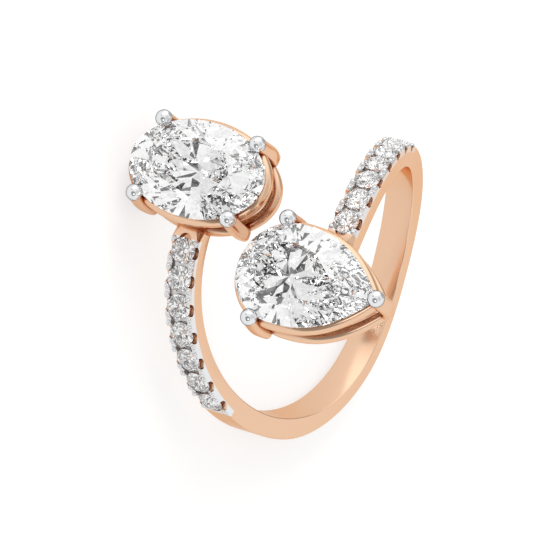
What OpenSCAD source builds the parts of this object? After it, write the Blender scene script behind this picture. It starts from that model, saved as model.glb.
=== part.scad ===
// Toi et moi ring: an open crossover band whose two arms pass each other over the
// finger. The left arm carries an oval stone in four claws and the right arm a pear
// stone in three, and seven small stones are set in the outside of each arm.
//
// The ring is worked out standing, in its own frame: X runs across the finger towards
// the right arm, Z points from the finger up to the two heads, and the finger axis
// is Y, with the pear's tip towards -Y. It is then laid down on the side that it
// rests on by itself, with its lowest points on Z = 0.

/* [Finger] */

// inside diameter of the band
finger_d = 17; // [15:0.1:20]

/* [Band] */

// width of the band at the bottom
band_w = 2.07; // [1.8:0.01:2.4]
// width of the two arms
arm_w = 1.9; // [1.8:0.01:2.1]
// thickness of the band at the bottom
band_t = 0.95; // [0.9:0.01:1.3]
// thickness of the two arms, up to the top of the posts between the small stones
arm_t = 1.37; // [1.3:0.01:1.5]
// how far the left arm has moved along the finger where it meets the oval head
left_sweep = 4.95; // [4:0.01:5.5]
// how far the right arm has moved along the finger where it meets the pear head
right_sweep = 4.73; // [4:0.01:5.5]
// how late the arms start to move along the finger, as a power
sweep_power = 1.23; // [1:0.01:1.5]
// bevel on the outer edges of the plain band
edge_bevel = 0.08; // [0.02:0.01:0.15]
// bevel on the outer edges of each arm where it meets its head
head_bevel = 0.42; // [0.1:0.01:0.6]

/* [Small stones] */

// small stones in each arm
pave_count = 7; // [3:1:7]
// diameter of a small stone
pave_d = 1.6; // [1.4:0.01:1.65]
// angle around the finger between one small stone and the next, in degrees
pave_pitch = 10.2; // [10:0.05:10.6]
// angle from the bottom of the band to the lowest small stone, in degrees
pave_start = 105.4; // [100:0.1:106]
// height of a small stone's widest line above the inside of the band
pave_seat = 1.27; // [1.2:0.01:1.35]
// height of the side walls above the inside of the band, below each small stone
scallop_t = 0.95; // [0.85:0.01:1.1]
// radius of the bead at each corner of a small stone
bead_r = 0.17; // [0.12:0.01:0.2]

/* [Heads] */

// height of the two stones' widest lines above the finger axis
girdle_z = 11.6; // [11.5:0.05:12.5]
// depth of the upper rail's centre below the stone's widest line
upper_drop = 0.65; // [0.5:0.01:0.8]
// radius of the upper rail
upper_r = 0.46; // [0.3:0.01:0.5]
// depth of the lower rail's centre below the stone's widest line
lower_drop = 2.66; // [2.2:0.01:2.7]
// radius of the lower rail
lower_r = 0.41; // [0.3:0.01:0.45]
// how far the upper rail's centre lies inside the stone's outline
upper_inset = 0.17; // [0.1:0.01:0.3]
// how far the lower rail's centre lies inside the stone's outline
lower_inset = 0.25; // [0.1:0.01:0.4]
// radius of a round claw
claw_r = 0.47; // [0.35:0.01:0.5]
// radius of the ball at the end of a claw
ball_r = 0.53; // [0.5:0.01:0.6]
// height of the balls' centres above the stone's widest line
ball_rise = 0.21; // [0.15:0.01:0.3]
// how far a round claw bows out past the line from its ball to its foot
claw_bow = 0.12; // [0:0.01:0.5]
// how far a round claw's foot lies outside the stone's outline
claw_out = 0.25; // [0.1:0.01:0.35]

/* [Oval stone] */

// length of the oval stone, along the finger
oval_l = 9.15; // [8.5:0.05:9.5]
// width of the oval stone
oval_w = 6.17; // [5.8:0.01:6.5]
// the oval stone's place across the finger
oval_x = 2.33; // [2:0.01:2.6]
// how far the oval stone's centre lies behind the middle of the band
oval_back = 4.96; // [4.5:0.01:5.2]
// distance between two claws along the oval
oval_claw_l = 6.56; // [6:0.01:6.8]
// distance between two claws across the oval
oval_claw_w = 4.94; // [4.7:0.01:5.2]

/* [Pear stone] */

// length of the pear stone from its widest line to its tip
pear_tip = 6.14; // [5.8:0.01:6.4]
// length of the pear stone from its widest line to its round end
pear_round = 3.33; // [3.1:0.01:3.5]
// width of the pear stone
pear_w = 6.36; // [6:0.01:6.6]
// how full the pear's flanks are, as a power
pear_belly = 2.4; // [1.8:0.05:2.6]
// the pear stone's place across the finger, on the left of the middle
pear_left = 2.3; // [2:0.01:2.6]
// how far the pear stone's widest line lies in front of the middle of the band
pear_front = 3.28; // [3:0.01:3.6]
// how far the two round-end claws lie behind the widest line
pear_claw_back = 1.22; // [1:0.01:1.4]
// distance between the two round-end claws
pear_claw_w = 6.5; // [6.3:0.01:6.8]
// how far the tip claw's ball lies in front of the widest line
pear_claw_tip = 6.2; // [6:0.01:6.4]
// how far the tip claw bows out
tip_bow = 0.35; // [0.1:0.01:0.6]

/* [Cut of the stones] */

// width of the table as a share of the stone's width
table_share = 0.57; // [0.5:0.01:0.65]
// height of the crown as a share of the stone's width
crown_share = 0.145; // [0.12:0.005:0.18]
// depth of the pavilion as a share of the stone's width
pavilion_share = 0.42; // [0.38:0.005:0.43]
// thickness of the girdle as a share of the stone's width
girdle_share = 0.02; // [0.01:0.005:0.04]

/* [Hidden] */

rose_gold = [0.92, 0.68, 0.52];
diamond = [0.93, 0.95, 0.97];

finger_r = finger_d / 2;
left = -1;
right = 1;
// clearance left between a stone and the metal around it
stone_gap = 0.04;
// the thin bottom of the band ends, and the full arms start, at these angles
thin_end = 20;
arm_start = 66;
narrow_start = 18;
narrow_end = 108;

// 0 below a, 1 above b, and a smooth step between them
function smooth_step(a, b, x) =
    let (u = max(0, min(1, (x - a) / (b - a)))) u * u * (3 - 2 * u);

function unit(v) = v / norm(v);

// Angles are measured around the finger from the bottom, positive up the right arm.
function sweep_at(angle) =
    (angle < 0 ? -left_sweep : right_sweep) * pow(pow(sin(angle / 2), 2), sweep_power);

function half_width_at(angle) =
    band_w / 2 + (arm_w - band_w) / 2 * smooth_step(narrow_start, narrow_end, abs(angle));

// A point of the ring from its angle, its height above the inside of the band, and
// how far it lies in front of the band's own middle line.
function band_point(angle, height, front) =
    [(finger_r + height) * sin(angle),
     -sweep_at(angle) - front,
     -(finger_r + height) * cos(angle)];

// Angles of the gaps below, between and above the small stones of one arm.
pave_low = pave_start - pave_pitch / 2;
pave_high = pave_low + pave_count * pave_pitch;

// where the side wall starts and stops to dip, from 0 at a post to 1 below a small stone
dip_start = 0.52;
dip_end = 0.72;

// 1 on a post between two small stones and 0 where the side wall dips below a stone
function post_share(angle) =
    let (turn = (abs(angle) - pave_low) / pave_pitch,
         off = abs(turn - round(turn)) * 2)
    abs(angle) < pave_low || abs(angle) > pave_high ? 1
    : 1 - smooth_step(dip_start, dip_end, off);

function thickness_at(angle) =
    let (plain = band_t + (arm_t - band_t) * smooth_step(thin_end, arm_start, abs(angle)))
    scallop_t + (plain - scallop_t) * post_share(angle);

// angle over which the bevel widens towards the head
bevel_run = 4;

function bevel_at(angle) =
    edge_bevel + (head_bevel - edge_bevel)
        * smooth_step(pave_high, pave_high + bevel_run, abs(angle));

// The band's section, as pairs of height and distance to the front.
function band_section(angle) =
    let (t = thickness_at(angle), w = half_width_at(angle), b = bevel_at(angle))
    [[0, -w], [0, w], [t - b, w], [t, w - b], [t, b - w], [t - b, -w]];

// Each arm ends inside the lower rail of its own head.
left_end = asin((oval_w / 2 - lower_inset - oval_x) / finger_r) - 180;
right_end = 180 - asin((pear_w / 2 - lower_inset - pear_left) / finger_r);

plain_steps = 40;
steps_in_pitch = 8;
arm_steps = pave_count * steps_in_pitch;
band_angles = concat(
    [left_end],
    [for (i = [arm_steps:-1:0]) -pave_low - i * pave_pitch / steps_in_pitch],
    [for (i = [1:plain_steps - 1]) pave_low * (2 * i / plain_steps - 1)],
    [for (i = [0:arm_steps]) pave_low + i * pave_pitch / steps_in_pitch],
    [right_end]);

// Joins rings of points, all with the same count, into a tube with closed ends, or
// into a loop.
module skin(rings, loop = false) {
    count = len(rings);
    sides = len(rings[0]);
    steps = loop ? count : count - 1;
    walls = [for (i = [0:steps - 1], j = [0:sides - 1])
        let (a = i * sides, b = ((i + 1) % count) * sides, k = (j + 1) % sides)
        each [[a + j, b + j, a + k], [a + k, b + j, b + k]]];
    caps = loop ? [] : [[for (j = [0:sides - 1]) j],
                        [for (j = [sides - 1:-1:0]) (count - 1) * sides + j]];
    polyhedron([for (ring = rings, p = ring) p], concat(walls, caps), convexity = 10);
}

band_rings = [for (angle = band_angles)
    [for (p = band_section(angle)) band_point(angle, p[0], p[1])]];

// Outlines of the stones seen from above. A turn of 0 is the stone's front end, turns
// go anticlockwise, and inset moves the outline in from the stone's widest line.
oval_outline = function (turn, inset)
    [(oval_w / 2 - inset) * sin(turn), -(oval_l / 2 - inset) * cos(turn)];

round_outline = function (turn, inset)
    (pave_d / 2 - inset) * [sin(turn), -cos(turn)];

pear_outline = function (turn, inset)
    let (side = turn > 180 ? turn - 360 : turn,
         half = pear_w / 2 - inset,
         share = 1 - abs(side) / 90)
    share < 0 ? [half * sin(side), -(pear_round - inset) * cos(side)]
    : [sign(side) * half * (1 - pow(share, pear_belly)), -(pear_tip - inset) * share];

// Facets of a brilliant cut: eight table corners, eight crown points half a step on,
// sixteen points around the widest line, eight points low on the back, and a culet.
mid_share = 0.77;
low_share = 0.25;
half_step = cos(22.5);

// A stone with its widest line at height 0. grow makes it larger on every side.
module cut_stone(outline, width, grow = 0) {
    crown = crown_share * width;
    pavilion = pavilion_share * width;
    rim = girdle_share * width / 2 + grow;
    at = function (step, share, z) let (p = outline(22.5 * step, -grow)) [p.x * share, p.y * share, z];
    table = [for (i = [0:7]) at(2 * i, table_share, rim + crown)];
    mid_z = rim + crown * (1 - mid_share * half_step) / (1 - table_share);
    mid = [for (i = [0:7]) at(2 * i + 1, mid_share, mid_z)];
    upper = [for (i = [0:15]) at(i, 1, rim)];
    under = [for (i = [0:15]) at(i, 1, -rim)];
    low = [for (i = [0:7]) at(2 * i + 1, low_share, -rim - pavilion * (1 - low_share * half_step))];
    culet = [[0, 0, -rim - pavilion]];
    faces = concat(
        [[7, 6, 5, 4, 3, 2, 1, 0]],
        [for (i = [0:7]) let (j = (i + 1) % 8, k = (i + 7) % 8, a = 16 + 2 * i, b = 16 + 2 * j)
            each [[i, j, 8 + i],
                  [i, 8 + i, a, 8 + k],
                  [8 + i, a + 1, a],
                  [8 + i, b, a + 1],
                  [48 + i, a + 16, a + 17],
                  [48 + i, a + 17, b + 16],
                  [56, 48 + k, a + 16, 48 + i]]],
        [for (i = [0:15]) let (j = (i + 1) % 16) [16 + i, 16 + j, 32 + j, 32 + i]]);
    polyhedron(concat(table, mid, upper, under, low, culet), faces, convexity = 4);
}

oval_place = [oval_x, oval_back, girdle_z];
pear_place = [-pear_left, -pear_front, girdle_z];

module at_oval() {
    translate(oval_place) children();
}

module at_pear() {
    translate(pear_place) children();
}

// Where the small stone with this place, from the bottom up, sits on an arm.
module at_pave(side, place) {
    angle = side * (pave_start + (place - 1) * pave_pitch);
    translate(band_point(angle, pave_seat, 0)) rotate([0, 180 - angle, 0]) children();
}

// A rail: a round wire bent along the stone's outline, below the stone.
rail_steps = 32;
rail_sides = 8;
// how far round the wire its first corner lies, in sides
rail_turn = 0.35;
function rail_rings(outline, inset, radius, drop) =
    [for (i = [0:rail_steps - 1])
        [for (j = [0:rail_sides - 1])
            let (around = -360 * (j + rail_turn) / rail_sides,
                 p = outline(360 * i / rail_steps, inset - radius * cos(around)))
            [p.x, p.y, radius * sin(around) - drop]]];

module rail(outline, inset, radius, drop) {
    skin(rail_rings(outline, inset, radius, drop), loop = true);
}

// The rounded end of a claw: [share of its size, height above the lower rail's centre]
claw_end = [[1, 0.2], [0.9, -0.08], [0.6, -0.33]];
claw_steps = 6;
claw_sides = 8;
// how low on a claw its bow is fullest, as a power: above 1 is below the middle
bow_power = 1.6;
// how far a claw's rings are turned, in degrees a millimetre
claw_twist = 8;

// The middle of a claw, from its ball (share 0) to its foot (share 1).
function claw_middle(ball, foot, bow, share) =
    let (out = unit([ball.x, ball.y]))
    [for (i = [0:1]) ball[i] + (foot[i] - ball[i]) * share
        + out[i] * bow * sin(180 * pow(share, bow_power))];

// Rings of points around a claw whose section is size.x by size.y. Lower rings are turned
// a little further, which keeps the claw's faces from crossing the rails' in flat strips.
function claw_rings(ball, foot, size, bow) =
    let (ring = function (middle, scale, z)
        [for (j = [0:claw_sides - 1])
            let (around = -360 * (j + 0.5) / claw_sides + claw_twist * z)
            [middle.x + size.x / 2 * scale * cos(around),
             middle.y + size.y / 2 * scale * sin(around), z]])
    concat(
        [for (i = [0:claw_steps - 1])
            let (share = i / claw_steps)
            ring(claw_middle(ball, foot, bow, share), 1, ball_rise - (lower_drop + ball_rise) * share)],
        [for (e = claw_end) ring(foot, e[0], e[1] - lower_drop)]);

module claw(ball, foot, size, bow) {
    skin(claw_rings(ball, foot, size, bow));
    translate([ball.x, ball.y, ball_rise]) sphere(ball_r, $fn = 12);
}

// width and thickness of a round claw, and of the flat claw at the pear's tip
round_claw = [2 * claw_r, 2 * claw_r];
tip_claw = [1, 0.62];

// Claws of the oval head: the ball's place, the foot's on the lower rail, size and bow.
oval_turn = atan2(oval_claw_w / oval_w, oval_claw_l / oval_l);
oval_claws = [for (x = [-1, 1], y = [-1, 1])
    [[x * oval_claw_w / 2, y * oval_claw_l / 2],
     let (p = oval_outline(oval_turn, -claw_out)) [x * p.x, -y * p.y],
     round_claw, claw_bow]];

pear_turn = 180 - atan2(pear_claw_w / pear_w, pear_claw_back / pear_round);
pear_claws = concat(
    [for (x = [-1, 1])
        [[x * pear_claw_w / 2, pear_claw_back],
         let (p = pear_outline(pear_turn, -claw_out)) [x * p.x, p.y],
         round_claw, claw_bow]],
    [[[0, -pear_claw_tip], pear_outline(0, lower_inset), tip_claw, tip_bow]]);

module head(outline, claws) {
    rail(outline, upper_inset, upper_r, upper_drop);
    rail(outline, lower_inset, lower_r, lower_drop);
    for (c = claws) claw(c[0], c[1], c[2], c[3]);
}

// half the distance between the two beads on a post, along the arm
bead_apart = 0.27;
// distance from a bead's centre to the side of the arm
bead_in = 0.19;
// depth of a bead's centre below the top of its post
bead_drop = 0.04;

// Four beads hold each small stone, two on the post below it and two on the post above.
module post_beads() {
    from_post = atan(bead_apart / (finger_r + arm_t));
    for (side = [left, right], place = [1:pave_count], end = [-1, 1], edge = [-1, 1])
        let (angle = side * (pave_start + (place - 1) * pave_pitch
                 + end * (pave_pitch / 2 - from_post)))
        translate(band_point(angle, arm_t - bead_drop, edge * (half_width_at(angle) - bead_in)))
            rotate([0, 180 - angle, 0]) sphere(bead_r, $fn = 6);
}

seat_r = pave_d / 2 + stone_gap;
seat_depth = (pavilion_share + girdle_share) * pave_d + stone_gap;
// height that the seat is opened up to, above the small stone's widest line
seat_rise = 1;
seat_sides = 14;

module pave_seats() {
    for (side = [left, right], place = [1:pave_count])
        at_pave(side, place) {
            translate([0, 0, -seat_depth])
                cylinder(h = seat_depth, r1 = 0, r2 = seat_r, $fn = seat_sides);
            cylinder(h = seat_rise, r = seat_r, $fn = seat_sides);
        }
}

// All the metal is soldered into one piece: the band, the two heads and the beads.
module metal() {
    difference() {
        union() {
            skin(band_rings);
            at_oval() head(oval_outline, oval_claws);
            at_pear() head(pear_outline, pear_claws);
            post_beads();
        }
        pave_seats();
        at_oval() cut_stone(oval_outline, oval_w, stone_gap);
        at_pear() cut_stone(pear_outline, pear_w, stone_gap);
    }
}

// The ring rests on the back end of the oval head's lower rail and on the back edge of
// the band, which touches at this angle from the bottom of the band.
rest_angle = -40;

function back_edge(angle) =
    band_point(angle, thickness_at(angle) - bevel_at(angle), -half_width_at(angle));

// The point of the oval's lower rail that lies farthest in the direction down.
function rail_touch(down) =
    let (a = oval_w / 2 - lower_inset,
         b = oval_l / 2 - lower_inset,
         k = norm([a * down.x, b * down.y]))
    oval_place + [a * a * down.x / k, b * b * down.y / k, -lower_drop] + lower_r * down;

// The direction down, improved from a guess by turning the surface about the band's edge.
function rest_down(guess, rounds) =
    rounds == 0 ? guess
    : rest_down(unit(cross(rail_touch(guess) - back_edge(rest_angle),
                           back_edge(rest_angle + 1) - back_edge(rest_angle - 1))),
                rounds - 1);

// Directions of the finished frame's axes in the standing one: the heads face -Y.
up = -rest_down([0, 1, 0], 8);
back = unit(up.z * up - [0, 0, 1]);
turned = [cross(back, up), back, up];

function head_points(place, outline, claws) =
    [for (rings = concat(
            [rail_rings(outline, upper_inset, upper_r, upper_drop)],
            [rail_rings(outline, lower_inset, lower_r, lower_drop)],
            [for (c = claws) claw_rings(c[0], c[1], c[2], c[3])]),
          ring = rings, p = ring) place + p];

// Points that reach as far out as the ring does on every side, but for the balls.
reach = [for (p = concat(
        [for (ring = band_rings, p = ring) p],
        head_points(oval_place, oval_outline, oval_claws),
        head_points(pear_place, pear_outline, pear_claws))) turned * p];
balls = [for (p = concat(
        [for (c = oval_claws) oval_place + [c[0].x, c[0].y, ball_rise]],
        [for (c = pear_claws) pear_place + [c[0].x, c[0].y, ball_rise]])) turned * p];
lowest = [for (i = [0:2]) min(min([for (p = reach) p[i]]), min([for (p = balls) p[i]]) - ball_r)];
highest = [for (i = [0:2]) max(max([for (p = reach) p[i]]), max([for (p = balls) p[i]]) + ball_r)];
shift = [-(lowest.x + highest.x) / 2, -(lowest.y + highest.y) / 2, -lowest.z];

module laid_down() {
    multmatrix([for (i = [0:2]) concat(turned[i], shift[i])]) children();
}

// Resizing to its own size leaves the metal as it is and joins it into one mesh.
module ring_frame() {
    color(rose_gold) resize([0, 0, 0]) laid_down() metal();
}

module oval_stone() {
    color(diamond) laid_down() at_oval() cut_stone(oval_outline, oval_w);
}

module pear_stone() {
    color(diamond) laid_down() at_pear() cut_stone(pear_outline, pear_w);
}

module pave_stone(side, place) {
    color(diamond) laid_down() at_pave(side, place) cut_stone(round_outline, pave_d);
}

ring_frame();
oval_stone();
pear_stone();
pave_stone(left, 1);  // pave_left_1
pave_stone(left, 2);  // pave_left_2
pave_stone(left, 3);  // pave_left_3
pave_stone(left, 4);  // pave_left_4
pave_stone(left, 5);  // pave_left_5
pave_stone(left, 6);  // pave_left_6
pave_stone(left, 7);  // pave_left_7
pave_stone(right, 1);  // pave_right_1
pave_stone(right, 2);  // pave_right_2
pave_stone(right, 3);  // pave_right_3
pave_stone(right, 4);  // pave_right_4
pave_stone(right, 5);  // pave_right_5
pave_stone(right, 6);  // pave_right_6
pave_stone(right, 7);  // pave_right_7
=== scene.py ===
import math

import bmesh
import bpy
import numpy as np
from mathutils import Matrix, Vector


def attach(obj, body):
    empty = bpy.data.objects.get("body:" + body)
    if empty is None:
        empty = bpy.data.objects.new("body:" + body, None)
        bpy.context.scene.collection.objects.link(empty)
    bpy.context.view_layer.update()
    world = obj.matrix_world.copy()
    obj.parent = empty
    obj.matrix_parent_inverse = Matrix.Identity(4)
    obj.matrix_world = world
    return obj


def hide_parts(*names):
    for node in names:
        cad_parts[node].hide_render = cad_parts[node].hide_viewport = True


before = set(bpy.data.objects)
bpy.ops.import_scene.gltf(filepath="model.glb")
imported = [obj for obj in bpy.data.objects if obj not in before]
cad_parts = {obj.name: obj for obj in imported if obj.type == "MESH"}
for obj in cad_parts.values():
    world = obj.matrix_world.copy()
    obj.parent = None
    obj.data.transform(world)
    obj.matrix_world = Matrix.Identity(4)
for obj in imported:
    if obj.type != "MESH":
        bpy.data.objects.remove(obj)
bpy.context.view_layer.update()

# The band: one flat strip of rose gold, bent around the finger and polished. Its two
# arms are drawn apart along the finger and pass each other on top, where each ends
# under its own head and is soldered to it.

# Sizes are in millimetres, for the ring as it stands: X across the finger, Y along it
# towards the oval's side, and Z up to the heads. Places around the band are in degrees
# from the middle of its bottom, and those on the left arm are below zero.
FINGER_R = 8.5
BAND_W, BAND_T = 2.07, 0.95
ARM_W, ARM_T = 1.9, 1.37
NARROWS_FROM, NARROWS_TO = 18, 108
THICKENS_FROM, THICKENS_TO = 20, 66
LEFT_SWEEP, RIGHT_SWEEP = 4.95, 4.73
SWEEP_POWER = 1.23
INNER_ROUND = 0.1
LEFT, RIGHT = -1, 1

# The small stones of each arm: how many, how far apart, and where the lowest one is.
STONES_IN_ARM = 7
PAVE_PITCH = 10.2
PAVE_START = 105.4
PAVE_LOW = PAVE_START - PAVE_PITCH / 2
PAVE_HIGH = PAVE_LOW + STONES_IN_ARM * PAVE_PITCH

# The outer edges have a fine bevel, which widens where an arm meets its head.
EDGE_BEVEL, HEAD_BEVEL = 0.08, 0.42
BEVEL_FROM, BEVEL_TO = PAVE_HIGH - 2, PAVE_HIGH + 4


def smooth_step(a, b, x):
    u = min(max((x - a) / (b - a), 0.0), 1.0)
    return u * u * (3 - 2 * u)


def sweep_at(angle):
    """How far an arm has moved along the finger, little at first and more higher up."""
    reach = -LEFT_SWEEP if angle < 0 else RIGHT_SWEEP
    return reach * (math.sin(math.radians(angle) / 2) ** 2) ** SWEEP_POWER


def half_width_at(angle):
    narrowing = smooth_step(NARROWS_FROM, NARROWS_TO, abs(angle))
    return BAND_W / 2 + (ARM_W - BAND_W) / 2 * narrowing


def thickness_at(angle):
    return BAND_T + (ARM_T - BAND_T) * smooth_step(THICKENS_FROM, THICKENS_TO, abs(angle))


def bevel_at(angle):
    return EDGE_BEVEL + (HEAD_BEVEL - EDGE_BEVEL) * smooth_step(BEVEL_FROM, BEVEL_TO, abs(angle))


def band_point(angle, height, front):
    """A point of the band, from its height over the finger and its way to the front."""
    turn = math.radians(angle)
    r = FINGER_R + height
    return (r * math.sin(turn), -sweep_at(angle) - front, -r * math.cos(turn))


# The heads' places, which the resting pose needs too. A drop is measured down from the
# stone's widest line, and an inset inwards from its outline.
GIRDLE_Z = 11.6
OVAL_L, OVAL_W = 9.15, 6.17
OVAL_X, OVAL_Y = 2.33, 4.96
PEAR_W = 6.36
PEAR_X, PEAR_Y = -2.3, -3.28
OVAL_PLACE = Vector((OVAL_X, OVAL_Y, GIRDLE_Z))
PEAR_PLACE = Vector((PEAR_X, PEAR_Y, GIRDLE_Z))
LOWER_DROP, LOWER_R, LOWER_INSET = 2.66, 0.41, 0.25

# The ring lies on the oval head's lower rail and, at REST_ANGLE, on the back edge of its
# band. Where the rail touches depends on the tilt, so both are found in a few rounds.
REST_ANGLE = -40
ROUNDS = 8


def back_edge(angle):
    height = thickness_at(angle) - bevel_at(angle)
    return Vector(band_point(angle, height, -half_width_at(angle)))


def rail_touch(down):
    a, b = OVAL_W / 2 - LOWER_INSET, OVAL_L / 2 - LOWER_INSET
    k = math.hypot(a * down.x, b * down.y)
    on_path = Vector((a * a * down.x / k, b * b * down.y / k, -LOWER_DROP))
    return OVAL_PLACE + on_path + LOWER_R * down


down = Vector((0, 1, 0))
for _ in range(ROUNDS):
    along = back_edge(REST_ANGLE + 1) - back_edge(REST_ANGLE - 1)
    down = (rail_touch(down) - back_edge(REST_ANGLE)).cross(along).normalized()
up = -down
back = (up.z * up - Vector((0, 0, 1))).normalized()
turned = Matrix((back.cross(up), back, up))

# The oval stone's lowest point, known in both frames, gives the shift between them.
MM = 0.001
GIRDLE_SHARE, PAVILION_SHARE = 0.02, 0.42
culet = OVAL_PLACE - Vector((0, 0, (PAVILION_SHARE + GIRDLE_SHARE / 2) * OVAL_W))
oval_points = [v.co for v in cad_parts["oval_stone"].data.vertices]
stone_down = turned @ Vector((0, 0, -1))
culet_laid = max(oval_points, key=lambda p: p.dot(stone_down))
laid = Matrix.Translation(culet_laid - turned @ culet * MM) @ (turned * MM).to_4x4()


def new_piece(name, points, faces, material=None):
    """A mesh object from points in the standing ring's millimetres."""
    mesh = bpy.data.meshes.new(name)
    mesh.from_pydata([tuple(p) for p in points], [], faces)
    mesh.validate()
    shape = bmesh.new()
    shape.from_mesh(mesh)
    bmesh.ops.recalc_face_normals(shape, faces=shape.faces[:])
    shape.to_mesh(mesh)
    shape.free()
    piece = bpy.data.objects.new(name, mesh)
    bpy.context.scene.collection.objects.link(piece)
    if material:
        mesh.materials.append(material)
    return piece


def skin(rings, loop=False):
    """Points and faces of a tube through rings of points, with closed ends or as a loop."""
    count, sides = len(rings), len(rings[0])
    points = [p for ring in rings for p in ring]
    faces = []
    for i in range(count if loop else count - 1):
        for j in range(sides):
            a, b, k = i * sides, ((i + 1) % count) * sides, (j + 1) % sides
            faces.append((a + j, b + j, b + k, a + k))
    if not loop:
        faces.append(tuple(range(sides)))
        faces.append(tuple((count - 1) * sides + j for j in reversed(range(sides))))
    return points, faces


def joined(name, parts):
    """One mesh object from several pairs of points and faces."""
    points, faces = [], []
    for part_points, part_faces in parts:
        start = len(points)
        points.extend(part_points)
        faces.extend(tuple(start + i for i in face) for face in part_faces)
    return new_piece(name, points, faces)


def cut_away(piece, cutter, sharp_from):
    """Cuts a closed mesh out of a piece, whose edges then look sharp from an angle on."""
    cut = piece.modifiers.new("cut", "BOOLEAN")
    cut.operation = "DIFFERENCE"
    cut.solver = "EXACT"
    cut.use_self = True
    cut.object = cutter
    shown = piece.evaluated_get(bpy.context.evaluated_depsgraph_get())
    mesh = bpy.data.meshes.new_from_object(shown)
    piece.modifiers.clear()
    piece.data = mesh
    bpy.data.objects.remove(cutter)
    mesh.shade_smooth()
    mesh.set_sharp_from_angle(angle=math.radians(sharp_from))


def section_at(angle):
    """The band's section: rounded at the finger and bevelled outside, as height and front."""
    t, w, b = thickness_at(angle), half_width_at(angle), bevel_at(angle)
    r = INNER_ROUND
    rounds = [math.radians(a) for a in (0, 22.5, 45, 67.5, 90)]
    half = [(r - r * math.cos(a), w - r + r * math.sin(a)) for a in rounds]
    half += [(t - b, w), (t, w - b)]
    return half + [(h, -f) for h, f in reversed(half)]


# Each arm ends where it meets the near side of its head's lower rail.
STATIONS = 480
left_end = math.degrees(math.asin((OVAL_W / 2 - LOWER_INSET - OVAL_X) / FINGER_R)) - 180
right_end = 180 - math.degrees(math.asin((PEAR_W / 2 - LOWER_INSET + PEAR_X) / FINGER_R))
rings = []
for angle in np.linspace(left_end, right_end, STATIONS):
    rings.append([band_point(angle, h, f) for h, f in section_at(angle)])
band = new_piece("band", *skin(rings))

# Each arm is drilled with a seat for every small stone. A channel is milled along the
# stones, with a round arch at its end, the sides are filed down below each stone, and
# a fine saw cut splits each post that is left between two stones into two prongs.

# Floors are heights over the finger, and CHANNEL_INSET and ARCH_AHEAD are in degrees.
STONE_R = 0.8
STONE_SEAT = 1.27
STONE_GAP = 0.04
SEAT_R = STONE_R + STONE_GAP
SEAT_FLOOR, SEAT_FLOOR_R = 0.62, 0.25
CHANNEL_FLOOR = 1.12
CHANNEL_HALF_W, CHANNEL_TOP_HALF_W = 0.56, 0.62
CHANNEL_INSET, CHANNEL_STATIONS = 3, 60
ARCH_R, ARCH_TOP_R = 0.4, 0.42
ARCH_AHEAD = 3.95
SCALLOP_R = 0.38
SPLIT_R, SPLIT_RISE = 0.09, 0.03

# The cutters reach past the metal, upwards and to both sides.
CUTTER_TOP = 2.2
SCALLOP_REACH, SPLIT_REACH = 1.6, 1.5
DRILL_SIDES, ARCH_SIDES, SCALLOP_SIDES, SPLIT_SIDES = 48, 32, 32, 16


def place_on_arm(angle, height, front=0.0):
    """Frame of a spot on the band: its Z points away from the finger, Y along the finger."""
    spot = Matrix.Translation(Vector(band_point(angle, height, front)))
    return spot @ Matrix.Rotation(math.radians(180 - angle), 4, "Y")


def turned_rod(matrix, profile, sides):
    """A closed turned body from (radius, height) pairs, about the matrix's Z."""
    rings = []
    for r, h in profile:
        ring = []
        for j in range(sides):
            a = -2 * math.pi * j / sides
            ring.append(matrix @ Vector((r * math.cos(a), r * math.sin(a), h)))
        rings.append(ring)
    return skin(rings)


def cross_cut(angle, height, r, reach, sides):
    """A round cutter that lies across an arm, along the finger."""
    lying = place_on_arm(angle, height) @ Matrix.Rotation(math.radians(90), 4, "X")
    return turned_rod(lying, [(r, reach), (r, -reach)], sides)


def channel_cut(side):
    """The milled channel of one arm, a little wider at its top."""
    section = [(CHANNEL_FLOOR, -CHANNEL_HALF_W), (CHANNEL_FLOOR, CHANNEL_HALF_W)]
    section += [(CUTTER_TOP, CHANNEL_TOP_HALF_W), (CUTTER_TOP, -CHANNEL_TOP_HALF_W)]
    ends = PAVE_LOW + CHANNEL_INSET, PAVE_HIGH - CHANNEL_INSET
    rings = []
    for angle in np.linspace(*ends, CHANNEL_STATIONS):
        rings.append([Vector(band_point(side * angle, h, f)) for h, f in section])
    return skin(rings)


cutters = []
for side in (LEFT, RIGHT):
    for place in range(STONES_IN_ARM):
        angle = side * (PAVE_START + place * PAVE_PITCH)
        seat = [(SEAT_R, CUTTER_TOP), (SEAT_R, STONE_SEAT), (SEAT_FLOOR_R, SEAT_FLOOR)]
        cutters.append(turned_rod(place_on_arm(angle, 0), seat, DRILL_SIDES))
        cutters.append(cross_cut(angle, ARM_T, SCALLOP_R, SCALLOP_REACH, SCALLOP_SIDES))
    last = side * (PAVE_HIGH - PAVE_PITCH / 2)
    arch = [(ARCH_TOP_R, CUTTER_TOP), (ARCH_R, CHANNEL_FLOOR)]
    cutters.append(turned_rod(place_on_arm(last + side * ARCH_AHEAD, 0), arch, ARCH_SIDES))
    cutters.append(channel_cut(side))
    for post in range(1, STONES_IN_ARM):
        angle = side * (PAVE_LOW + post * PAVE_PITCH)
        cutters.append(cross_cut(angle, ARM_T + SPLIT_RISE, SPLIT_R, SPLIT_REACH, SPLIT_SIDES))
cut_away(band, joined("seat_cutters", cutters), sharp_from=30)

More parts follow.
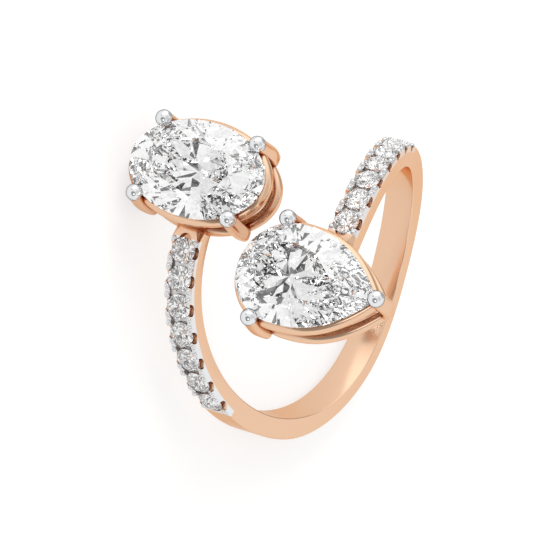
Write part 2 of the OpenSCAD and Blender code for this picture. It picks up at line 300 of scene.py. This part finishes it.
# The gold is polished, with a faint haze. Its creases carry a painted shade: where the metal
# is closed in, its colour is darkened towards a deep copper, in place of the light that is
# thrown from gold to gold and dies away there. The tops of the posts around the small stones
# are plated white. An edge colour is what a metal shows at a glancing angle.
ROSE_GOLD, GOLD_EDGE = (0.88, 0.585, 0.4, 1), (0.94, 0.74, 0.58, 1)
WHITE_PLATING, PLATING_EDGE = (0.86, 0.87, 0.885, 1), (0.1, 0.1, 0.11, 1)
# Painted crease shade: the colours that creases are darkened to, how far the occlusion looks for
# nearby metal, and the openness below which the shade is full and above which it is gone.
CREASE_SHADE, CREASE_SHADE_REACH = (0.34, 0.1, 0.035, 1), 0.003
BAND_CREASE_SHADE, BAND_CREASE_SHADE_REACH = (0.6, 0.3, 0.16, 1), 0.001
PLATED_CREASE_SHADE = (0.5, 0.47, 0.46, 1)
CLOSED_IN, OPEN = 0.4, 0.72
CREASE_SAMPLES = 8
GOLD_ROUGHNESS, PLATING_ROUGHNESS = 0.14, 0.06
SMOOTHEST, ROUGHEST = 0.8, 1.3
HAZE_SCALE, HAZE_DETAIL = 900, 3

# The plating covers what lies above this height over the finger, from just before the
# lowest small stone up to the end of the highest.
PLATED_RISE, RISE_BLUR = 0.96, 0.01
PLATED_START, PLATED_END, TURN_BLUR = PAVE_LOW - 0.9, PAVE_HIGH - 0.5, 0.1


def faded(tree, value, low, high, at_low=0.0, at_high=1.0):
    """A node whose result goes from at_low to at_high as a value goes from low to high."""
    fade = tree.nodes.new("ShaderNodeMapRange")
    fade.inputs["From Min"].default_value = low
    fade.inputs["From Max"].default_value = high
    fade.inputs["To Min"].default_value = at_low
    fade.inputs["To Max"].default_value = at_high
    tree.links.new(value, fade.inputs["Value"])
    return fade


def mixed(tree, share, a, b):
    """A node whose colour goes from a to b as the share goes from 0 to 1."""
    mix = tree.nodes.new("ShaderNodeMix")
    mix.data_type = "RGBA"
    mix.inputs["A"].default_value = a
    mix.inputs["B"].default_value = b
    tree.links.new(share, mix.inputs["Factor"])
    return mix


def polished(name, colour, edge, crease_shade, crease_shade_reach, roughness):
    """A polished metal, with a faint haze of finish and a painted shade in its creases."""
    material = bpy.data.materials.new(name)
    material.use_nodes = True
    tree = material.node_tree
    shader = tree.nodes["Principled BSDF"]
    shader.inputs["Metallic"].default_value = 1
    shader.inputs["Specular Tint"].default_value = edge
    place = tree.nodes.new("ShaderNodeTexCoord")
    haze = tree.nodes.new("ShaderNodeTexNoise")
    haze.inputs["Scale"].default_value = HAZE_SCALE
    haze.inputs["Detail"].default_value = HAZE_DETAIL
    tree.links.new(place.outputs["Object"], haze.inputs["Vector"])
    rough = faded(tree, haze.outputs["Fac"], 0, 1, roughness * SMOOTHEST, roughness * ROUGHEST)
    tree.links.new(rough.outputs["Result"], shader.inputs["Roughness"])
    # Painted shade: the base colour goes from the crease colour, where little open space is
    # found within the reach, to the metal's own colour where the surface is open.
    openness = tree.nodes.new("ShaderNodeAmbientOcclusion")
    openness.samples = CREASE_SAMPLES
    openness.inputs["Distance"].default_value = crease_shade_reach
    lit = faded(tree, openness.outputs["AO"], CLOSED_IN, OPEN)
    crease_shaded = mixed(tree, lit.outputs["Result"], crease_shade, colour)
    crease_shaded.name = "crease_shaded"
    tree.links.new(crease_shaded.outputs["Result"], shader.inputs["Base Color"])
    return material


def calculated(tree, operation, a, b):
    """The sum or the product of two values."""
    result = tree.nodes.new("ShaderNodeMath")
    result.operation = operation
    tree.links.new(a, result.inputs[0])
    tree.links.new(b, result.inputs[1])
    return result.outputs[0]


def past(tree, name, edge, blur):
    """A mask of where an attribute is past an edge or, with a blur below 0, short of it."""
    value = tree.nodes.new("ShaderNodeAttribute")
    value.attribute_name = name
    return faded(tree, value.outputs["Fac"], edge - blur, edge + blur).outputs["Result"]


rose_gold = polished("rose_gold", ROSE_GOLD, GOLD_EDGE, CREASE_SHADE, CREASE_SHADE_REACH, GOLD_ROUGHNESS)
white_plating = polished("white_plating", WHITE_PLATING, PLATING_EDGE,
                         PLATED_CREASE_SHADE, BAND_CREASE_SHADE_REACH, PLATING_ROUGHNESS)
plated_gold = polished("rose_gold_with_plated_posts", ROSE_GOLD, GOLD_EDGE,
                       BAND_CREASE_SHADE, BAND_CREASE_SHADE_REACH, GOLD_ROUGHNESS)
tree = plated_gold.node_tree
started = past(tree, "around", PLATED_START, TURN_BLUR)
not_ended = past(tree, "around", PLATED_END, -TURN_BLUR)
among_stones = calculated(tree, "MULTIPLY", started, not_ended)
high = past(tree, "rise", PLATED_RISE, RISE_BLUR)
on_posts = calculated(tree, "MULTIPLY", high, among_stones)
# On the plated posts the painted crease shade is grey instead of copper.
for socket, gold, plated in (("A", BAND_CREASE_SHADE, PLATED_CREASE_SHADE), ("B", ROSE_GOLD, WHITE_PLATING)):
    colour = mixed(tree, on_posts, gold, plated)
    tree.links.new(colour.outputs["Result"], tree.nodes["crease_shaded"].inputs[socket])

rise = band.data.attributes.new("rise", "FLOAT", "POINT")
around = band.data.attributes.new("around", "FLOAT", "POINT")
for i, v in enumerate(band.data.vertices):
    rise.data[i].value = math.hypot(v.co.x, v.co.z) - FINGER_R
    around.data[i].value = abs(math.degrees(math.atan2(v.co.x, -v.co.z)))

# The filed notches stay rose gold inside: their faces lie at the file's radius from the
# middle of its cut.
FILE_MARGIN = 0.02


def in_notch(centre):
    turn = math.degrees(math.atan2(abs(centre.x), -centre.z))
    place = round((turn - PAVE_START) / PAVE_PITCH)
    off = math.radians(turn - PAVE_START - place * PAVE_PITCH) * (FINGER_R + ARM_T)
    from_axis = math.hypot(off, math.hypot(centre.x, centre.z) - FINGER_R - ARM_T)
    return 0 <= place < STONES_IN_ARM and abs(from_axis - SCALLOP_R) < FILE_MARGIN


def lay_down(piece):
    """Takes a piece from the standing ring's millimetres to its place in the frame."""
    piece.data.transform(laid)


band.data.materials.clear()
band.data.materials.append(plated_gold)
band.data.materials.append(rose_gold)
for face in band.data.polygons:
    face.material_index = 1 if in_notch(face.center) else 0
lay_down(band)
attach(band, "root")
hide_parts("ring_frame")

# Beads: the two prongs of each post are raised over the edges of the small stones on
# both sides, rounded off into beads, and plated white with the posts. The first and the
# last post hold a stone on one side only.
BEAD_R = 0.17
BEAD_SINK = 0.04
BEAD_APART = 0.27
BEAD_IN = 0.2


def ball_part(matrix, r, end, step, sides):
    """A ball turned about the matrix's Z, in steps of degrees from one end to the other."""
    arc = [math.radians(a) for a in range(end, -end - 1, -step)]
    return turned_rod(matrix, [(r * math.cos(a), r * math.sin(a)) for a in arc], sides)


bead_turn = math.degrees(math.atan(BEAD_APART / (FINGER_R + ARM_T)))
parts = []
for side in (LEFT, RIGHT):
    for post in range(STONES_IN_ARM + 1):
        for end in (-1, 1):
            if (post, end) in ((0, -1), (STONES_IN_ARM, 1)):
                continue
            angle = side * (PAVE_LOW + post * PAVE_PITCH + end * bead_turn)
            for edge in (-1, 1):
                front = edge * (half_width_at(angle) - BEAD_IN)
                spot = place_on_arm(angle, ARM_T - BEAD_SINK, front)
                parts.append(ball_part(spot, BEAD_R, end=85, step=17, sides=16))
beads = joined("post_beads", parts)
beads.data.materials.append(white_plating)
beads.data.shade_smooth()
lay_down(beads)
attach(beads, "root")
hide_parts("ring_frame")

# The two heads: each is a basket of rose gold, with two round rails bent to its stone's
# outline and soldered to its claws. The claws lean in over the stone and end in balls,
# which are plated white.
PEAR_TIP, PEAR_ROUND, PEAR_BELLY = 6.14, 3.33, 2.4
UPPER_DROP, UPPER_R, UPPER_INSET = 0.65, 0.46, 0.17
RAIL_STATIONS, RAIL_SIDES = 144, 24
BALL_R, BALL_RISE = 0.53, 0.21
CLAW_OUT = 0.25
ROUND_CLAW, ROUND_BOW = (0.94, 0.94), 0.12
TIP_CLAW, TIP_BOW = (1.0, 0.62), 0.35
BOW_POWER = 1.6
SQUARE = 0.6
CLAW_STATIONS, CLAW_SIDES = 24, 32

# A claw's foot starts this far above the lower rail's middle, and is rounded below.
FOOT_TOP, FOOT_DEPTH = 0.2, 0.55


def oval_outline(turn, inset):
    """The oval's outline from above, where a turn of 0 is its front end."""
    a = math.radians(turn)
    return Vector(((OVAL_W / 2 - inset) * math.sin(a), -(OVAL_L / 2 - inset) * math.cos(a)))


def pear_outline(turn, inset):
    """The pear's outline from above: a half round, and two flanks that meet in its tip."""
    side = (turn + 180) % 360 - 180
    half = PEAR_W / 2 - inset
    share = 1 - abs(side) / 90
    if share < 0:
        a = math.radians(side)
        return Vector((half * math.sin(a), -(PEAR_ROUND - inset) * math.cos(a)))
    flank = half * (1 - share**PEAR_BELLY)
    return Vector((math.copysign(flank, side), -(PEAR_TIP - inset) * share))


def rail(outline, inset, radius, drop):
    """A round wire, bent to an outline that is moved in and down."""
    rings = []
    for i in range(RAIL_STATIONS):
        ring = []
        for j in range(RAIL_SIDES):
            a = -2 * math.pi * j / RAIL_SIDES
            p = outline(360 * i / RAIL_STATIONS, inset - radius * math.cos(a))
            ring.append(Vector((p.x, p.y, radius * math.sin(a) - drop)))
        rings.append(ring)
    return skin(rings, loop=True)


def squared(share):
    """Draws a round section's share of its half width out towards a square."""
    return math.copysign(abs(share) ** SQUARE, share)


def claw(ball, foot, size, bow):
    """A claw that bows out from its ball down to its rounded foot."""
    ball, foot = Vector(ball), Vector(foot)
    out = ball.normalized()
    foot_z = FOOT_TOP - LOWER_DROP
    stations = []
    for i in range(CLAW_STATIONS):
        share = i / CLAW_STATIONS
        middle = ball.lerp(foot, share)
        middle += out * bow * math.sin(math.pi * share**BOW_POWER)
        stations.append((middle, 1.0, BALL_RISE + (foot_z - BALL_RISE) * share))
    for a in (0, 15, 30, 45, 60, 75, 88):
        a = math.radians(a)
        stations.append((foot, math.cos(a), foot_z - FOOT_DEPTH * math.sin(a)))
    rings = []
    for middle, scale, z in stations:
        ring = []
        for j in range(CLAW_SIDES):
            a = -2 * math.pi * j / CLAW_SIDES
            x = size[0] / 2 * scale * squared(math.cos(a))
            y = size[1] / 2 * scale * squared(math.sin(a))
            ring.append(Vector((middle.x + x, middle.y + y, z)))
        rings.append(ring)
    return skin(rings)


# The claws of each head: the ball's place, the foot's place, the section and the bow.
OVAL_CLAW_L, OVAL_CLAW_W = 6.56, 4.94
PEAR_CLAW_BACK, PEAR_CLAW_W, PEAR_CLAW_TIP = 1.22, 6.5, 6.2
oval_turn = math.degrees(math.atan2(OVAL_CLAW_W / OVAL_W, OVAL_CLAW_L / OVAL_L))
foot = oval_outline(oval_turn, -CLAW_OUT)
oval_claws = []
for x in (-1, 1):
    for y in (-1, 1):
        ball = (x * OVAL_CLAW_W / 2, y * OVAL_CLAW_L / 2)
        oval_claws.append((ball, (x * foot.x, -y * foot.y), ROUND_CLAW, ROUND_BOW))
pear_turn = 180 - math.degrees(math.atan2(PEAR_CLAW_W / PEAR_W, PEAR_CLAW_BACK / PEAR_ROUND))
foot = pear_outline(pear_turn, -CLAW_OUT)
pear_claws = []
for x in (-1, 1):
    ball = (x * PEAR_CLAW_W / 2, PEAR_CLAW_BACK)
    pear_claws.append((ball, (x * foot.x, foot.y), ROUND_CLAW, ROUND_BOW))
foot = pear_outline(0, LOWER_INSET)
pear_claws.append(((0, -PEAR_CLAW_TIP), tuple(foot), TIP_CLAW, TIP_BOW))

# The stones' cut, which the seats in the claws follow: a flat table, a crown of kite,
# star and upper facets, a thin rim at the widest line, and a deep back of long facets
# that meet in a point. The crown's upper facets meet at MID_SHARE of the way out from
# the middle, and the back's lower ones at LOW_SHARE.
KITES = 8
FACET_TURN = 180 / KITES
STEP_COS = math.cos(math.radians(FACET_TURN))
CROWN_SHARE = 0.145
TABLE_SHARE, MID_SHARE, LOW_SHARE = 0.57, 0.77, 0.25
BLANK = 1.2
SEAT_SIDES = 96
HALF_DEGREE = 0.5
PARALLEL, ON_FACET, SAME_CORNER = 1e-9, 1e-6, 1e-4


def facet(point, other, line):
    """The facet through two points that holds a line's direction, facing outwards."""
    normal = (other - point).cross(line).normalized()
    return point, normal if normal.dot(point) > 0 else -normal


def meeting(a, b, z, otherwise):
    """Where two facets meet at height z."""
    (pa, na), (pb, nb) = a, b
    lines = Matrix(((na.x, na.y), (nb.x, nb.y)))
    rest = Vector((na.dot(pa) - na.z * z, nb.dot(pb) - nb.z * z))
    if abs(lines.determinant()) < PARALLEL:
        return otherwise
    x, y = lines.inverted() @ rest
    return Vector((x, y, z))


def facets_of(outline, width, grow):
    """Every facet of a brilliant, as a point on it and the way it faces."""
    rim = GIRDLE_SHARE * width / 2 + grow
    crown, pavilion = CROWN_SHARE * width, PAVILION_SHARE * width

    def at(step, share, z):
        p = outline(FACET_TURN * step, -grow) * share
        return Vector((p.x, p.y, z))

    def tangent(step):
        ahead = outline(FACET_TURN * step + HALF_DEGREE, -grow)
        behind = outline(FACET_TURN * step - HALF_DEGREE, -grow)
        return Vector((*(ahead - behind), 0)).normalized()

    kites, mains = [], []
    bottom = Vector((0, 0, -rim - pavilion))
    for step in range(0, 2 * KITES, 2):
        kites.append(facet(at(step, 1, rim), at(step, TABLE_SHARE, rim + crown), tangent(step)))
        mains.append(facet(at(step, 1, -rim), bottom, tangent(step)))
    table = (Vector((0, 0, rim + crown)), Vector((0, 0, 1)))
    facets = [table] + kites + mains
    mid_z = rim + crown * (1 - MID_SHARE * STEP_COS) / (1 - TABLE_SHARE)
    low_z = -rim - pavilion * (1 - LOW_SHARE * STEP_COS)
    for k in range(KITES):
        j = (k + 1) % KITES
        mid = meeting(kites[k], kites[j], mid_z, at(2 * k + 1, MID_SHARE, mid_z))
        low = meeting(mains[k], mains[j], low_z, at(2 * k + 1, LOW_SHARE, low_z))
        start = at(2 * k, TABLE_SHARE, rim + crown)
        end = at(2 * j, TABLE_SHARE, rim + crown)
        facets.append(facet(start, mid, end - start))
        for quarter in (0.5, 1.5):
            step = 2 * k + quarter
            facets.append(facet(at(step, 1, rim), mid, tangent(step)))
            facets.append(facet(at(step, 1, -rim), low, tangent(step)))
    return facets


def cut_stone(outline, width, sides, grow=0.0):
    """A brilliant, cut facet by facet from a blank of its outline, as points and faces."""
    rim = GIRDLE_SHARE * width / 2 + grow
    top_z, under_z = rim + CROWN_SHARE * width * BLANK, -rim - PAVILION_SHARE * width * BLANK
    shape = bmesh.new()
    ring = [outline(360 * i / sides, -grow) for i in range(sides)]
    top = [shape.verts.new((p.x, p.y, top_z)) for p in ring]
    under = [shape.verts.new((p.x, p.y, under_z)) for p in ring]
    shape.faces.new(top)
    shape.faces.new(list(reversed(under)))
    for i in range(sides):
        j = (i + 1) % sides
        shape.faces.new((under[i], under[j], top[j], top[i]))
    for point, normal in facets_of(outline, width, grow):
        geometry = shape.verts[:] + shape.edges[:] + shape.faces[:]
        cut = bmesh.ops.bisect_plane(shape, geom=geometry, dist=ON_FACET, plane_co=point,
                                     plane_no=normal, clear_outer=True)
        open_edges = [e for e in cut["geom_cut"] if isinstance(e, bmesh.types.BMEdge)]
        bmesh.ops.contextual_create(shape, geom=open_edges)
    bmesh.ops.remove_doubles(shape, verts=shape.verts[:], dist=SAME_CORNER)
    bmesh.ops.recalc_face_normals(shape, faces=shape.faces[:])
    shape.verts.index_update()
    points = [v.co.copy() for v in shape.verts]
    faces = [tuple(v.index for v in f.verts) for f in shape.faces]
    shape.free()
    return points, faces


def moved(part, place):
    return [p + place for p in part[0]], part[1]


def build_head(name, place, outline, width, claws):
    """The basket and the balls of one head, with a seat cut in both for the stone."""
    basket_parts = [rail(outline, UPPER_INSET, UPPER_R, UPPER_DROP)]
    basket_parts.append(rail(outline, LOWER_INSET, LOWER_R, LOWER_DROP))
    basket_parts += [claw(*c) for c in claws]
    ball_parts = []
    for (x, y), _, _, _ in claws:
        spot = Matrix.Translation(place + Vector((x, y, BALL_RISE)))
        ball_parts.append(ball_part(spot, BALL_R, end=88, step=8, sides=40))
    basket = joined(name + "_basket", [moved(part, place) for part in basket_parts])
    balls = joined(name + "_balls", ball_parts)
    for piece, material in ((basket, rose_gold), (balls, white_plating)):
        seat = moved(cut_stone(outline, width, SEAT_SIDES, STONE_GAP), place)
        cut_away(piece, joined("seat", [seat]), sharp_from=40)
        piece.data.materials.clear()
        piece.data.materials.append(material)
        lay_down(piece)
        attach(piece, "root")
        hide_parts("ring_frame")


build_head("oval", OVAL_PLACE, oval_outline, OVAL_W, oval_claws)
build_head("pear", PEAR_PLACE, pear_outline, PEAR_W, pear_claws)

# The stones: clear cut stones, an oval and a pear in the heads' claws and small round
# ones under the beads. A well cut back throws all the light that meets it from inside
# back up to the table, so the backs are mirrors when seen from inside.
CLEAR = (1, 1, 1, 1)
REFRACTION = 2.417
LARGE_SIDES, SMALL_SIDES = 128, 32
FACES_BACK = -0.1


def clear(name):
    material = bpy.data.materials.new(name)
    material.use_nodes = True
    shader = material.node_tree.nodes["Principled BSDF"]
    shader.inputs["Base Color"].default_value = CLEAR
    shader.inputs["Roughness"].default_value = 0
    shader.inputs["Transmission Weight"].default_value = 1
    shader.inputs["IOR"].default_value = REFRACTION
    return material


clear_crown, bright_back = clear("clear_crown"), clear("bright_back")
tree = bright_back.node_tree
inside = tree.nodes.new("ShaderNodeNewGeometry")
tree.links.new(inside.outputs["Backfacing"], tree.nodes["Principled BSDF"].inputs["Metallic"])


def round_outline(turn, inset):
    a = math.radians(turn)
    return Vector(((STONE_R - inset) * math.sin(a), -(STONE_R - inset) * math.cos(a)))


def add_stone(node, matrix, outline, width, sides):
    points, faces = cut_stone(outline, width, sides)
    stone = new_piece(node + "_cut", [matrix @ p for p in points], faces, clear_crown)
    stone.data.materials.append(bright_back)
    table = matrix.to_3x3() @ Vector((0, 0, 1))
    for face in stone.data.polygons:
        face.material_index = 1 if face.normal.dot(table) < FACES_BACK else 0
    lay_down(stone)
    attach(stone, "root")
    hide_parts(node)


add_stone("oval_stone", Matrix.Translation(OVAL_PLACE), oval_outline, OVAL_W, LARGE_SIDES)
add_stone("pear_stone", Matrix.Translation(PEAR_PLACE), pear_outline, PEAR_W, LARGE_SIDES)
for side, word in ((LEFT, "left"), (RIGHT, "right")):
    for place in range(STONES_IN_ARM):
        spot = place_on_arm(side * (PAVE_START + place * PAVE_PITCH), STONE_SEAT)
        node = f"pave_{word}_{place + 1}"
        add_stone(node, spot, round_outline, 2 * STONE_R, SMALL_SIDES)

# The table top: matt white paper, which the ring lies on. It shines a little by itself
# to stay white under the soft light, and shows the camera a slightly lighter tone than
# it shows the ring.
TABLE_HALF = 0.12
PAPER, PAPER_SEEN = (0.3, 0.3, 0.3, 1), (0.42, 0.415, 0.41, 1)
PAPER_SHINE, PAPER_SHINE_SEEN = (0.7, 0.7, 0.7, 1), (0.72, 0.72, 0.72, 1)
PAPER_ROUGHNESS = 0.9
sheet = bpy.data.meshes.new("table_top")
corners = [(x * TABLE_HALF, y * TABLE_HALF, 0) for x, y in ((-1, -1), (1, -1), (1, 1), (-1, 1))]
sheet.from_pydata(corners, [], [(0, 1, 2, 3)])
floor = bpy.data.objects.new("table_top", sheet)
bpy.context.scene.collection.objects.link(floor)
paper = bpy.data.materials.new("white_paper")
paper.use_nodes = True
tree = paper.node_tree
shader = tree.nodes["Principled BSDF"]
shader.inputs["Roughness"].default_value = PAPER_ROUGHNESS
shader.inputs["Specular IOR Level"].default_value = 0
shader.inputs["Emission Strength"].default_value = 1
ray = tree.nodes.new("ShaderNodeLightPath").outputs["Is Camera Ray"]
tone = mixed(tree, ray, PAPER, PAPER_SEEN)
tree.links.new(tone.outputs["Result"], shader.inputs["Base Color"])
shine = mixed(tree, ray, PAPER_SHINE, PAPER_SHINE_SEEN)
tree.links.new(shine.outputs["Result"], shader.inputs["Emission Color"])
floor.data.materials.append(paper)

# The light: a large soft tent of white cloth around the table, brighter where the lamp
# shines through it. It is dimmer overhead, at the far side and where the stones' tables
# mirror it, and dark in the opening for the camera, apart from one bright spot.
tent = bpy.data.worlds.new("light_tent")
bpy.context.scene.world = tent
tent.use_nodes = True
tent_tree = tent.node_tree
direction = tent_tree.nodes.new("ShaderNodeTexCoord").outputs["Generated"]


def patch(axis, full, gone, strength, elsewhere):
    """A strength that is full within an angle of a direction, and gone past a larger one."""
    turn = tent_tree.nodes.new("ShaderNodeVectorMath")
    turn.operation = "DOT_PRODUCT"
    turn.inputs[1].default_value = Vector(axis).normalized()
    tent_tree.links.new(direction, turn.inputs[0])
    edges = math.cos(math.radians(gone)), math.cos(math.radians(full))
    fade = faded(tent_tree, turn.outputs["Value"], *edges, elsewhere, strength)
    fade.interpolation_type = "SMOOTHSTEP"
    return fade.outputs["Result"]


def dimmed(light, axis, full, gone, share):
    return calculated(tent_tree, "MULTIPLY", light, patch(axis, full, gone, share, 1.0))


def brightened(light, axis, full, gone, extra):
    return calculated(tent_tree, "ADD", light, patch(axis, full, gone, extra, 0.0))


OVERHEAD = (0, 0, 1)
FAR_SIDE = (-0.7, 0.62, 0.36)
LAMP_SIDE = (-0.93, -0.34, 0.15)
OPENING = (0.64, -0.65, 0.41)
BRIGHT_SPOT = (0.685, -0.498, 0.531)
FACING_TABLES = (-0.25, -0.965, 0)
glow = patch(OVERHEAD, full=8, gone=35, strength=0.75, elsewhere=1.05)
glow = dimmed(glow, FAR_SIDE, full=14, gone=30, share=0.5)
glow = brightened(glow, LAMP_SIDE, full=15, gone=50, extra=0.5)
glow = dimmed(glow, OPENING, full=30, gone=38, share=0.36)
glow = brightened(glow, BRIGHT_SPOT, full=9, gone=13, extra=1.4)
glow = dimmed(glow, FACING_TABLES, full=8, gone=12, share=0.25)

# What passes through a stone meets another tent, which makes the stones sparkle: a
# little brighter on the camera's side, with a few dark cards and a dark ring, which the
# stones' backs throw up as dark facets.
CAMERA_SIDE = (0.1, -0.5, 0.86)
RING_MIDDLE = (0.6, -0.6, 0.53)
RING_TONE, MIDDLE_EXTRA = 0.1, 1.0
CARDS = (
    # direction, angle that the card covers
    ((0.63, -0.32, 0.71), 15),
    ((0.31, -0.85, 0.42), 17),
    ((-0.26, -0.94, 0.22), 9),
    ((-0.27, -0.34, 0.9), 11),
)
CARD_TONE = 0.04
sparkle = patch(CAMERA_SIDE, full=45, gone=85, strength=1.2, elsewhere=0.92)
for card, reach in CARDS:
    sparkle = dimmed(sparkle, card, full=reach - 1, gone=reach + 1, share=CARD_TONE)
sparkle = dimmed(sparkle, RING_MIDDLE, full=36, gone=40, share=RING_TONE)
sparkle = brightened(sparkle, RING_MIDDLE, full=15, gone=19, extra=MIDDLE_EXTRA)
through_stone = tent_tree.nodes.new("ShaderNodeLightPath").outputs["Is Transmission Ray"]
shown = tent_tree.nodes.new("ShaderNodeMix")
tent_tree.links.new(through_stone, shown.inputs["Factor"])
tent_tree.links.new(glow, shown.inputs["A"])
tent_tree.links.new(sparkle, shown.inputs["B"])
cloth = tent_tree.nodes["Background"]
cloth.inputs["Color"].default_value = (1, 1, 1, 1)
tent_tree.links.new(shown.outputs["Result"], cloth.inputs["Strength"])

# The lamp: a broad soft one behind the cloth, which polished metal doesn't mirror. The
# light may bounce often, because a cut stone passes it on many times.
LAMP_FROM = (-0.78, -0.37, 0.5)
LAMP_STRENGTH, LAMP_SPREAD = 1.2, 30
EXPOSURE = -0.14
BOUNCES = 24
lamp_light = bpy.data.lights.new("key_lamp", "SUN")
lamp_light.energy = LAMP_STRENGTH
lamp_light.angle = math.radians(LAMP_SPREAD)
lamp = bpy.data.objects.new("key_lamp", lamp_light)
bpy.context.scene.collection.objects.link(lamp)
lamp.visible_glossy = False
lamp.matrix_world = Vector(LAMP_FROM).to_track_quat("Z", "Y").to_matrix().to_4x4()
scene = bpy.context.scene
scene.view_settings.view_transform = "Standard"
scene.view_settings.exposure = EXPOSURE
scene.cycles.max_bounces = BOUNCES
scene.cycles.glossy_bounces = BOUNCES
scene.cycles.transmission_bounces = BOUNCES

# The camera: at the photograph's angle to the ring, and so far away that there is next
# to no perspective. Its three directions are in the standing ring's frame.
VIEW_RIGHT = Vector((0.36059, -0.86470, -0.34966))
VIEW_UP = Vector((0.91396, 0.25276, 0.31747))
VIEW_BACK = Vector((-0.18614, -0.43405, 0.88145))
DISTANCE = 500.0
PIXELS_PER_MM = 16.26327
RING_CENTRE_PIXEL = (320.2236, 286.0910)
IMAGE = 550
SENSOR = 36.0
CLIP_END = 20
eye = VIEW_BACK * DISTANCE
eye -= VIEW_RIGHT * (RING_CENTRE_PIXEL[0] - IMAGE / 2) / PIXELS_PER_MM
eye += VIEW_UP * (RING_CENTRE_PIXEL[1] - IMAGE / 2) / PIXELS_PER_MM
lens = bpy.data.cameras.new("camera")
lens.sensor_width = SENSOR
lens.lens = SENSOR * PIXELS_PER_MM * DISTANCE / IMAGE
lens.clip_end = CLIP_END
camera = bpy.data.objects.new("camera", lens)
bpy.context.scene.collection.objects.link(camera)
axes = Matrix((turned @ VIEW_RIGHT, turned @ VIEW_UP, turned @ VIEW_BACK)).transposed()
camera.matrix_world = Matrix.Translation(laid @ eye) @ axes.to_4x4()
bpy.context.scene.camera = camera
